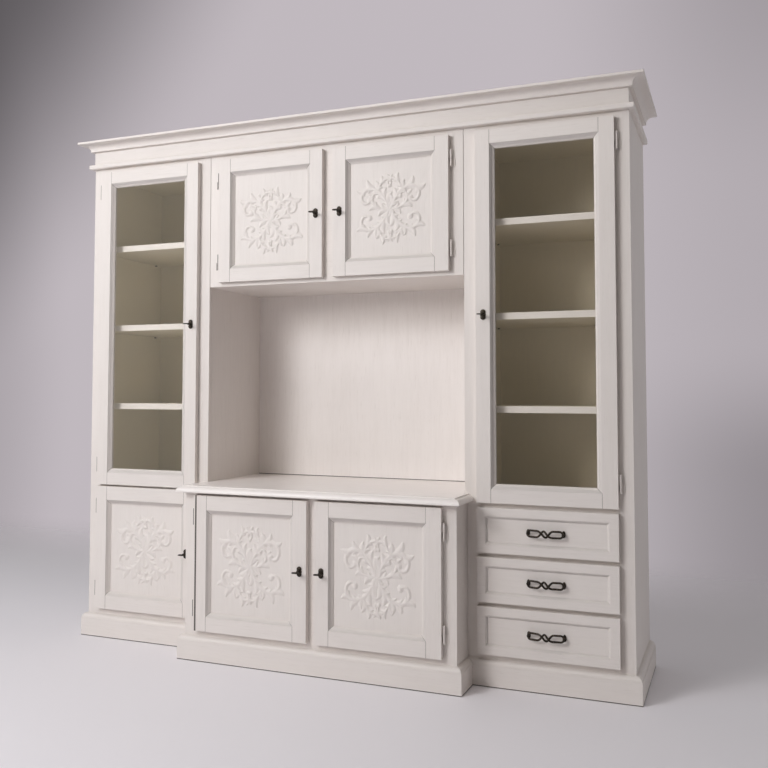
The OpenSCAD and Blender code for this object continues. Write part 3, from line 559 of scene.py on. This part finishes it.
def wroughtIron():
    material, g = newMaterial("dark_iron")
    place = g.node("ShaderNodeTexCoord", out="Object")
    hammer = noise(g, place, iron["hammerScale"], detail=1.0)
    speck = noise(g, place, iron["speckScale"], roughness=0.6)
    rubbed = g.smooth(hammer, *iron["rubbedFrom"])
    colour = g.blend(rubbed, (*iron["tone"], 1), (*iron["rubbedTone"], 1))
    edge = softEdge(g, iron["edgeRadius"])
    bump = g.node("ShaderNodeBump", None, {
        "Strength": iron["bumpStrength"], "Distance": iron["bumpDepth"],
        "Height": hammer + speck * iron["speckHeight"], "Normal": edge})
    surface = g.node("ShaderNodeBsdfPrincipled", None, {
        "Base Color": colour, "Metallic": iron["metallic"],
        "Roughness": iron["roughness"] + speck * iron["speckRoughness"], "Normal": bump})
    g.node("ShaderNodeOutputMaterial", None, {"Surface": surface})
    return material


# Glass: a clear pane with the faint green of plain glass
glass = {
    "tone": (0.965, 0.965, 0.955),
    "shadowTone": (0.97, 0.965, 0.95),  # of the light that falls through it
    "rippleScale": 5.0,
    "rippleStrength": 0.05,
    "rippleDepth": 0.0005,
    "bend": 1.45,
}


def clearGlass():
    material, g = newMaterial("clear_glass")
    path = g.node("ShaderNodeLightPath", out="Is Shadow Ray")
    passing = g.maths("MAXIMUM", path, path.also("Is Diffuse Ray"))
    place = g.node("ShaderNodeTexCoord", out="Object")
    ripple = g.node("ShaderNodeBump", None, {
        "Strength": glass["rippleStrength"], "Distance": glass["rippleDepth"],
        "Height": noise(g, place, glass["rippleScale"])})
    pane = g.node("ShaderNodeBsdfPrincipled", None, {
        "Base Color": (*glass["tone"], 1), "Roughness": 0.0, "IOR": glass["bend"],
        "Transmission Weight": 1.0, "Normal": ripple})
    clear = g.node("ShaderNodeBsdfTransparent", None, {"Color": (*glass["shadowTone"], 1)})
    mixed = g.node("ShaderNodeMixShader", None, {0: passing, 1: pane, 2: clear})
    g.node("ShaderNodeOutputMaterial", None, {"Surface": mixed})
    return material


# Bare wood of the drawer boxes
bareWood = {
    "tone": (0.56, 0.40, 0.25),
    "lateTone": (0.40, 0.26, 0.145),
    "ringScale": 26.0,
    "ringFrom": (0.42, 0.62),
    "ringHeight": 0.5,
    "fibreScale": 380.0,
    "stretch": 16.0,
    "roughness": 0.62,
    "fibreRoughness": 0.1,
    "bumpStrength": 0.5,
    "bumpDepth": 0.0002,
}


def plainWood():
    material, g = newMaterial("bare_wood")
    place = g.node("ShaderNodeTexCoord", out="Object")
    vector = g.node("ShaderNodeMapping", None, {
        "Vector": place, "Scale": (1, 1 / bareWood["stretch"], 1)})
    rings = noise(g, vector, bareWood["ringScale"], detail=3.0, roughness=0.55)
    fibre = noise(g, vector, bareWood["fibreScale"])
    colour = g.blend(g.smooth(rings, *bareWood["ringFrom"]), (*bareWood["tone"], 1),
                     (*bareWood["lateTone"], 1))
    bump = g.node("ShaderNodeBump", None, {
        "Strength": bareWood["bumpStrength"], "Distance": bareWood["bumpDepth"],
        "Height": fibre + rings * bareWood["ringHeight"]})
    rough = bareWood["roughness"] + fibre * bareWood["fibreRoughness"]
    surface = g.node("ShaderNodeBsdfPrincipled", None, {
        "Base Color": colour, "Roughness": rough, "Normal": bump})
    g.node("ShaderNodeOutputMaterial", None, {"Surface": surface})
    return material


# Carved panels: scrolling stems and leaves in low relief on a flat panel
carving = {
    "spanWide": 0.88,  # share of the field's width that the motif spans
    "reachWide": 1.30,  # how far the drawing reaches from its middle, in its own units
    "reachHigh": 1.15,
    "depth": 0.0034,
    "softness": 0.95,  # below 1 the carved edges are crisper, above it softer
    "meshStep": 0.0015,
    "leafLength": 0.40,
    "leafWidth": 0.105,
    "leafHeight": 0.85,
    "leafEdge": 0.008,  # added to a leaf's width all along
    "leafTurn": (0.25, 1.25),  # how it leaves the stem, and how far it curls after that
    "leavesFrom": (0.06, 0.62),  # between these shares of a stem's length
    "leafShrink": (1.12, 0.45),  # size at the start of the stem, and what it loses to the end
    "innerLeaf": 0.62,  # size of the leaves inside a curl against those outside
    "stemSlim": 0.55,  # width of a stem's ends against its middle
    "berry": 1.35,  # radius of the end of a scroll, in stem widths
    "berryHeight": 1.1,
    "petals": 8,
    "petalSize": 0.65,
    "bossRadius": 0.085,
    "stray": (0.06, 0.05, 0.18),  # how much bends, lengths and leaves differ by chance
    "scrolls": (  # start, heading, length, bend, curl, width, turn, leaves, size of the leaves
        ((0.04, 0.02), 70, 1.95, 1.2, 4.6, 0.085, -1, 5, 1.0),
        ((0.05, -0.05), -64, 1.9, 1.2, 4.4, 0.080, 1, 5, 0.95),
        ((0.10, 0.0), 4, 1.15, 1.0, 3.8, 0.060, 1, 3, 0.8),
        ((0.45, 0.62), 108, 0.9, 0.9, 3.6, 0.050, 1, 3, 0.66),
        ((0.45, -0.62), -112, 0.85, 0.9, 3.6, 0.050, -1, 3, 0.66),
    ),
    "margin": 0.011,  # kept flat round the edge, behind the frame's lip
    "marginFade": 0.004,
    "panels": {  # door: (mirrored, seed, share of the field's height, drop below the middle)
        "left_lower_door": (False, 3, 0.80, 0.004),
        "upper_left_door": (False, 5, 0.74, 0.013),
        "upper_right_door": (True, 7, 0.75, 0.006),
        "base_left_door": (True, 11, 0.82, 0.002),
        "base_right_door": (False, 13, 0.82, 0.002),
    },
}
stemSteps = 40
leafSteps = 12


def sweep(start, angles, length):
    step = length / (len(angles) - 1)
    x = start[0] + np.concatenate([[0], np.cumsum(np.cos(angles[:-1]))]) * step
    y = start[1] + np.concatenate([[0], np.cumsum(np.sin(angles[:-1]))]) * step
    return np.stack([x, y], 1)


def growLeaf(start, angle, side, size):
    s = np.linspace(0, 1, leafSteps)
    leaving, curling = carving["leafTurn"]
    angles = angle + side * (leaving + curling * s ** 1.3)
    line = sweep(start, angles, carving["leafLength"] * size)
    # a leaf swells quickly and tapers slowly
    width = carving["leafWidth"] * size * np.sin(np.pi * (0.05 + 0.93 * s) ** 0.7) ** 0.7
    return line, width + carving["leafEdge"], carving["leafHeight"]


def growMotif(random):
    strokes = []  # each is (centre line, half widths, height)
    berries = []  # each is (centre, radius)
    bendStray, lengthStray, leafStray = carving["stray"]
    full, loss = carving["leafShrink"]
    slim = carving["stemSlim"]

    def vary(amount):
        return random.uniform(1 - amount, 1 + amount)

    def scroll(start, heading, length, bend, curl, width, side, leaves, size):
        s = np.linspace(0, 1, stemSteps)
        angles = math.radians(heading) + side * (bend * s + curl * s ** 3) * vary(bendStray)
        line = sweep(start, angles, length * vary(lengthStray))
        # a stem is widest a little before its middle
        thick = width * (slim + (1 - slim) * np.sin(np.pi * np.clip(s * 1.05, 0, 1) ** 0.8))
        strokes.append((line, thick, 1.0))
        berries.append((line[-1], width * carving["berry"]))
        for place in np.linspace(*carving["leavesFrom"], leaves):
            i = int(place * (stemSteps - 1))
            for way, share in ((-side, 1.0), (side, carving["innerLeaf"])):
                grown = size * share * (full - loss * place) * vary(leafStray)
                strokes.append(growLeaf(line[i], angles[i], way, grown))

    for side in (1, -1):  # the left half is nearly the right one mirrored
        for start, heading, length, bend, curl, width, turn, leaves, size in carving["scrolls"]:
            facing = heading if side == 1 else 180 - heading
            scroll((side * start[0], start[1]), facing, length, bend, curl, width, side * turn,
                   leaves, size)
    for k in range(carving["petals"]):
        angle = 2 * math.pi * (k + 0.25) / carving["petals"]
        strokes.append(growLeaf((0, 0), angle, 1, carving["petalSize"]))
    berries.append(((0, 0), carving["bossRadius"]))
    return strokes, berries


def reliefHeight(strokes, berries, u, v):
    height = np.zeros((len(v), len(u)))
    across, upward = np.meshgrid(u, v)
    for line, widths, high in strokes:
        for a, b, wideA, wideB in zip(line[:-1], line[1:], widths[:-1], widths[1:]):
            reach = max(wideA, wideB)
            c0, c1 = np.searchsorted(u, (min(a[0], b[0]) - reach, max(a[0], b[0]) + reach))
            r0, r1 = np.searchsorted(v, (min(a[1], b[1]) - reach, max(a[1], b[1]) + reach))
            dx = across[r0:r1, c0:c1] - a[0]
            dy = upward[r0:r1, c0:c1] - a[1]
            along = b - a
            t = np.clip((dx * along[0] + dy * along[1]) / (along @ along + 1e-12), 0, 1)
            off = np.hypot(dx - t * along[0], dy - t * along[1]) / (wideA + (wideB - wideA) * t)
            raised = high * np.clip(1 - off ** 2, 0, 1) ** carving["softness"]
            height[r0:r1, c0:c1] = np.maximum(height[r0:r1, c0:c1], raised)
    for centre, radius in berries:
        off = np.hypot(across - centre[0], upward - centre[1]) / radius
        raised = carving["berryHeight"] * np.clip(1 - off ** 2, 0, 1) ** carving["softness"]
        height = np.maximum(height, raised)
    return height


def carvePanel(door, mirrored, seed, spanHigh, drop):
    low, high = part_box(door + "_panel")
    columns = round((high.x - low.x) / carving["meshStep"])
    rows = round((high.z - low.z) / carving["meshStep"])
    x = np.linspace(low.x, high.x, columns + 1)
    z = np.linspace(low.z, high.z, rows + 1)
    wideField = high.x - low.x - 2 * carving["margin"]
    highField = high.z - low.z - 2 * carving["margin"]
    unitWide = wideField * carving["spanWide"] / 2 / carving["reachWide"]
    unitHigh = highField * spanHigh / 2 / carving["reachHigh"]
    u = (x - (low.x + high.x) / 2) / unitWide
    v = (z - (low.z + high.z) / 2 + drop) / unitHigh
    strokes, berries = growMotif(np.random.default_rng(seed))
    raised = reliefHeight(strokes, berries, u, v) * carving["depth"]
    if mirrored:
        raised = raised[:, ::-1]
    edge = np.minimum(np.minimum(x - low.x, high.x - x)[None, :],
                      np.minimum(z - low.z, high.z - z)[:, None])
    raised = raised * np.clip((edge - carving["margin"]) / carving["marginFade"], 0, 1)
    gridX, gridZ = np.meshgrid(x, z)
    points = np.stack([gridX, low.y - raised, gridZ], 2).reshape(-1, 3).tolist()
    wide = columns + 1
    faces = []
    for row in range(rows):
        for column in range(columns):
            i = row * wide + column
            faces.append((i, i + 1, i + wide + 1, i + wide))
    back = len(points)
    points += [(low.x, high.y, low.z), (high.x, high.y, low.z),
               (high.x, high.y, high.z), (low.x, high.y, high.z)]
    last = rows * wide
    faces.append((back, back + 3, back + 2, back + 1))
    faces.append((back, back + 1, *range(columns, -1, -1)))
    faces.append((back + 2, back + 3, *range(last, last + wide)))
    faces.append((back + 3, back, *range(0, last + 1, wide)))
    faces.append((back + 1, back + 2, *range(last + columns, columns - 1, -wide)))
    mesh = bpy.data.meshes.new(door + "_carved_panel")
    mesh.from_pydata(points, [], faces)
    mesh.validate()
    for face in mesh.polygons[:rows * columns]:
        face.use_smooth = True
    mesh.materials.append(panelMaterial)
    panel = linkObject(door + "_carved_panel", mesh)
    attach(panel, door)
    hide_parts(door + "_panel")


# Wrought pulls: one rod that runs round two loops and twists with itself in the middle
pull = {
    "Rod Radius": 0.0037,
    "Loop Height": 0.022,
    "Foot": 0.018,  # from the drawer to the rod at the ends
    "Bow": 0.008,  # how much further the rod stands out in the middle
    "Twist Length": 0.058,
    "Twist Depth": 0.0036,
    "Sway": 0.0060,  # how far the twist rises beside one end of its eye and drops beside the other
    "Half Turns": 2.0,
    "Pinch": 0.12,  # how much flatter the twist is than the loops
    "Pinch Width": 0.3,  # and over how much of its length
    "Evenness": 0.05,  # slows the twist in its middle
    "Hammering": 0.16,
    "Dent Scale": 160.0,
}
pullSteps = 260
rodSides = 14
plate = {
    "width": 0.013,
    "height": 0.025,
    "thick": 0.0025,
    "edge": 0.0006,  # softened rim
}


def pullTree(material):
    tree = bpy.data.node_groups.new("twisted_pull", "GeometryNodeTree")
    for name in ("Length", *pull):
        tree.interface.new_socket(name, in_out="INPUT", socket_type="NodeSocketFloat")
    tree.interface.new_socket("Mesh", in_out="OUTPUT", socket_type="NodeSocketGeometry")
    g = Graph(tree)
    size = g.node("NodeGroupInput")
    half = size.also("Length") / 2 - size.also("Rod Radius")
    loop = size.also("Loop Height") / 2
    turn = g.node("GeometryNodeInputIndex") * (2 * math.pi / pullSteps)
    x = g.maths("COSINE", turn) * half * -1.0
    side = g.maths("SIGN", g.maths("SINE", turn))
    over = g.maths("MAXIMUM", g.maths("ABSOLUTE", x) - (half - loop), 0.0) / loop
    arch = loop * g.maths("SQRT", g.maths("MAXIMUM", 1.0 - over * over, 0.0))
    twist = g.node("ShaderNodeClamp", None, {0: x / size.also("Twist Length") + 0.5})
    ease = twist - g.maths("SINE", twist * (2 * math.pi)) * size.also("Evenness")
    angle = ease * size.also("Half Turns") * math.pi
    near = x / (size.also("Twist Length") * size.also("Pinch Width"))
    fade = g.maths("EXPONENT", near * near * -1.0)
    sway = size.also("Sway") * g.maths("SINE", x / size.also("Twist Length") * (2 * math.pi)) * fade
    lift = g.maths("COSINE", x / half * (math.pi / 2))
    y = (size.also("Foot") + size.also("Bow") * lift * lift) * -1.0
    y = y - side * size.also("Twist Depth") * g.maths("SINE", angle)
    z = side * arch * (1.0 - fade * size.also("Pinch")) * g.maths("COSINE", angle) - sway
    ring = g.node("GeometryNodeCurvePrimitiveCircle", {"mode": "RADIUS"}, {
        "Resolution": pullSteps, "Radius": 1.0}, "Curve")
    where = g.node("ShaderNodeCombineXYZ", None, {0: x, 1: y, 2: z})
    line = g.node("GeometryNodeSetPosition", None, {"Geometry": ring, "Position": where})
    dents = g.node("ShaderNodeTexNoise", None, {"Scale": size.also("Dent Scale"), "Detail": 1.0}, 0)
    scale = 1.0 + (dents - 0.5) * size.also("Hammering")
    outline = g.node("GeometryNodeCurvePrimitiveCircle", {"mode": "RADIUS"}, {
        "Resolution": rodSides, "Radius": size.also("Rod Radius")}, "Curve")
    rod = g.node("GeometryNodeCurveToMesh", None, {
        "Curve": line, "Profile Curve": outline, "Scale": scale})
    whole = g.node("GeometryNodeRealizeInstances", None, {0: rod})
    smooth = g.node("GeometryNodeSetShadeSmooth", None, {"Geometry": whole})
    done = g.node("GeometryNodeSetMaterial", None, {"Geometry": smooth, "Material": material})
    g.node("NodeGroupOutput", None, {0: done})
    return tree


def grownMesh(name, tree, values, place):
    # runs a tree on an empty mesh and returns the result as a plain mesh at its place
    grower = linkObject(name + "_grower", bpy.data.meshes.new(name + "_start"))
    modifier = grower.modifiers.new("grow", "NODES")
    modifier.node_group = tree
    for item in tree.interface.items_tree:
        if item.in_out == "INPUT" and item.name in values:
            modifier[item.identifier] = values[item.name]
    grower.update_tag()
    view = bpy.context.evaluated_depsgraph_get()
    mesh = bpy.data.meshes.new_from_object(grower.evaluated_get(view))
    grower.modifiers.remove(modifier)
    bpy.data.objects.remove(grower)
    mesh.name = name
    mesh.transform(Matrix.Translation(place))
    return mesh


def skinRings(shape, rings, smooth):
    # faces between a stack of rings, closed at both ends
    for lower, upper in zip(rings[:-1], rings[1:]):
        for k in range(len(lower)):
            n = (k + 1) % len(lower)
            shape.faces.new((lower[k], lower[n], upper[n], upper[k])).smooth = smooth
    shape.faces.new(rings[0][::-1])
    shape.faces.new(rings[-1])
    bmesh.ops.recalc_face_normals(shape, faces=shape.faces)


def addShape(whole, part):
    # moves the faces of one shape into another
    spare = bpy.data.meshes.new("spare")
    part.to_mesh(spare)
    part.free()
    whole.from_mesh(spare)
    bpy.data.meshes.remove(spare)


def turned(profile, axis, place, steps=28):
    # a lathe-turned solid; profile is (distance along the axis, radius) pairs, closed at both ends
    shape = bmesh.new()
    rings = []
    for along, radius in profile:
        ring = []
        for k in range(steps):
            angle = 2 * math.pi * k / steps
            x, y = radius * math.cos(angle), radius * math.sin(angle)
            ring.append(shape.verts.new((x, y, along)))
        rings.append(ring)
    skinRings(shape, rings, True)
    turn = Vector(axis).to_track_quat("Z", "Y").to_matrix().to_4x4()
    bmesh.ops.transform(shape, matrix=Matrix.Translation(place) @ turn, verts=shape.verts)
    return shape


pullPost = (  # profile of the turned posts that hold a pull
    (0.001, 0.0052), (0.0028, 0.0054), (0.0042, 0.0042), (0.0070, 0.0035), (0.0130, 0.0033),
    (0.0160, 0.0040), (0.0185, 0.0045), (0.0205, 0.0040), (0.0218, 0.0020))


def ovalPlate(place, steps=12):
    # an upright oval with a softened rim, lying against the drawer
    shape = bmesh.new()
    rings = []
    thick, rim = plate["thick"], plate["edge"]
    for depth, inset in ((0, 0), (thick - rim, 0), (thick, rim)):
        ring = []
        for k in range(2 * steps):
            angle = math.pi * k / steps
            ring.append(shape.verts.new((math.cos(angle) * (plate["width"] / 2 - inset), -depth,
                                         math.sin(angle) * (plate["height"] / 2 - inset))))
        rings.append(ring)
    skinRings(shape, rings, False)
    bmesh.ops.translate(shape, vec=place, verts=shape.verts)
    return shape


rosette = {
    "lobe": 0.0098,  # radius of each of the two domes
    "apart": 0.0185,  # between their middles
    "rise": 0.0032,
    "rim": 0.0022,  # height of the straight edge below the dome
    "sink": 0.0004,
    "steps": 6,
}


def makeRosettes():
    profile = [(-rosette["sink"], rosette["lobe"])]
    for k in range(rosette["steps"]):
        angle = math.pi / 2 * k / rosette["steps"]
        profile.append((rosette["rim"] + rosette["rise"] * math.sin(angle),
                        rosette["lobe"] * math.cos(angle)))
    for door in doors:
        low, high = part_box(door + "_lock")
        shape = bmesh.new()
        for side in (-1, 1):
            place = ((low.x + high.x) / 2, doorFace(door),
                     (low.z + high.z) / 2 + side * rosette["apart"] / 2)
            addShape(shape, turned(profile, (0, -1, 0), place))
        mesh = bpy.data.meshes.new(door + "_rosette")
        shape.to_mesh(mesh)
        shape.free()
        mesh.materials.append(ironMaterial)
        piece = linkObject(door + "_rosette", mesh)
        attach(piece, door)


def makePulls():
    tree = pullTree(ironMaterial)
    for drawer in ("top", "middle", "bottom"):
        name = drawer + "_drawer_pull"
        low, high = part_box(name)
        place = Vector(((low.x + high.x) / 2, high.y, (low.z + high.z) / 2))
        reach = (high.x - low.x) / 2 - plate["width"] / 2
        values = dict(pull, Length=2 * (reach + pull["Rod Radius"]))
        mesh = grownMesh(name + "_rod", tree, values, place)
        shape = bmesh.new()
        shape.from_mesh(mesh)
        bmesh.ops.recalc_face_normals(shape, faces=shape.faces)
        for side in (-1, 1):
            foot = place + Vector((side * reach, 0, 0))
            addShape(shape, turned(pullPost, (0, -1, 0), foot))
            addShape(shape, ovalPlate(foot))
        shape.to_mesh(mesh)
        shape.free()
        piece = linkObject(name + "_wrought", mesh)
        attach(piece, drawer + "_drawer")
        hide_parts(name)


dressDoors()
dressCase()
ironMaterial = wroughtIron()
glassMaterial = clearGlass()
woodMaterial = plainWood()
panelMaterial = paintedWood("panel_paint", "z")
for name in nodes:
    if name.endswith(("_lock", "_key", "_pull")) or name == "shelf_pins":
        dress(name, ironMaterial)
    if name.endswith("_pane"):
        dress(name, glassMaterial)
    if name.endswith("_box") or name == "drawer_runners":
        dress(name, woodMaterial)
    if name.endswith("_panel"):
        dress(name, panelMaterial)
print("finishes given to every node")
for door, settings in carving["panels"].items():
    carvePanel(door, *settings)
print("panels carved")
makeRosettes()
makePulls()
print("pulls and rosettes wrought")


print("finished")
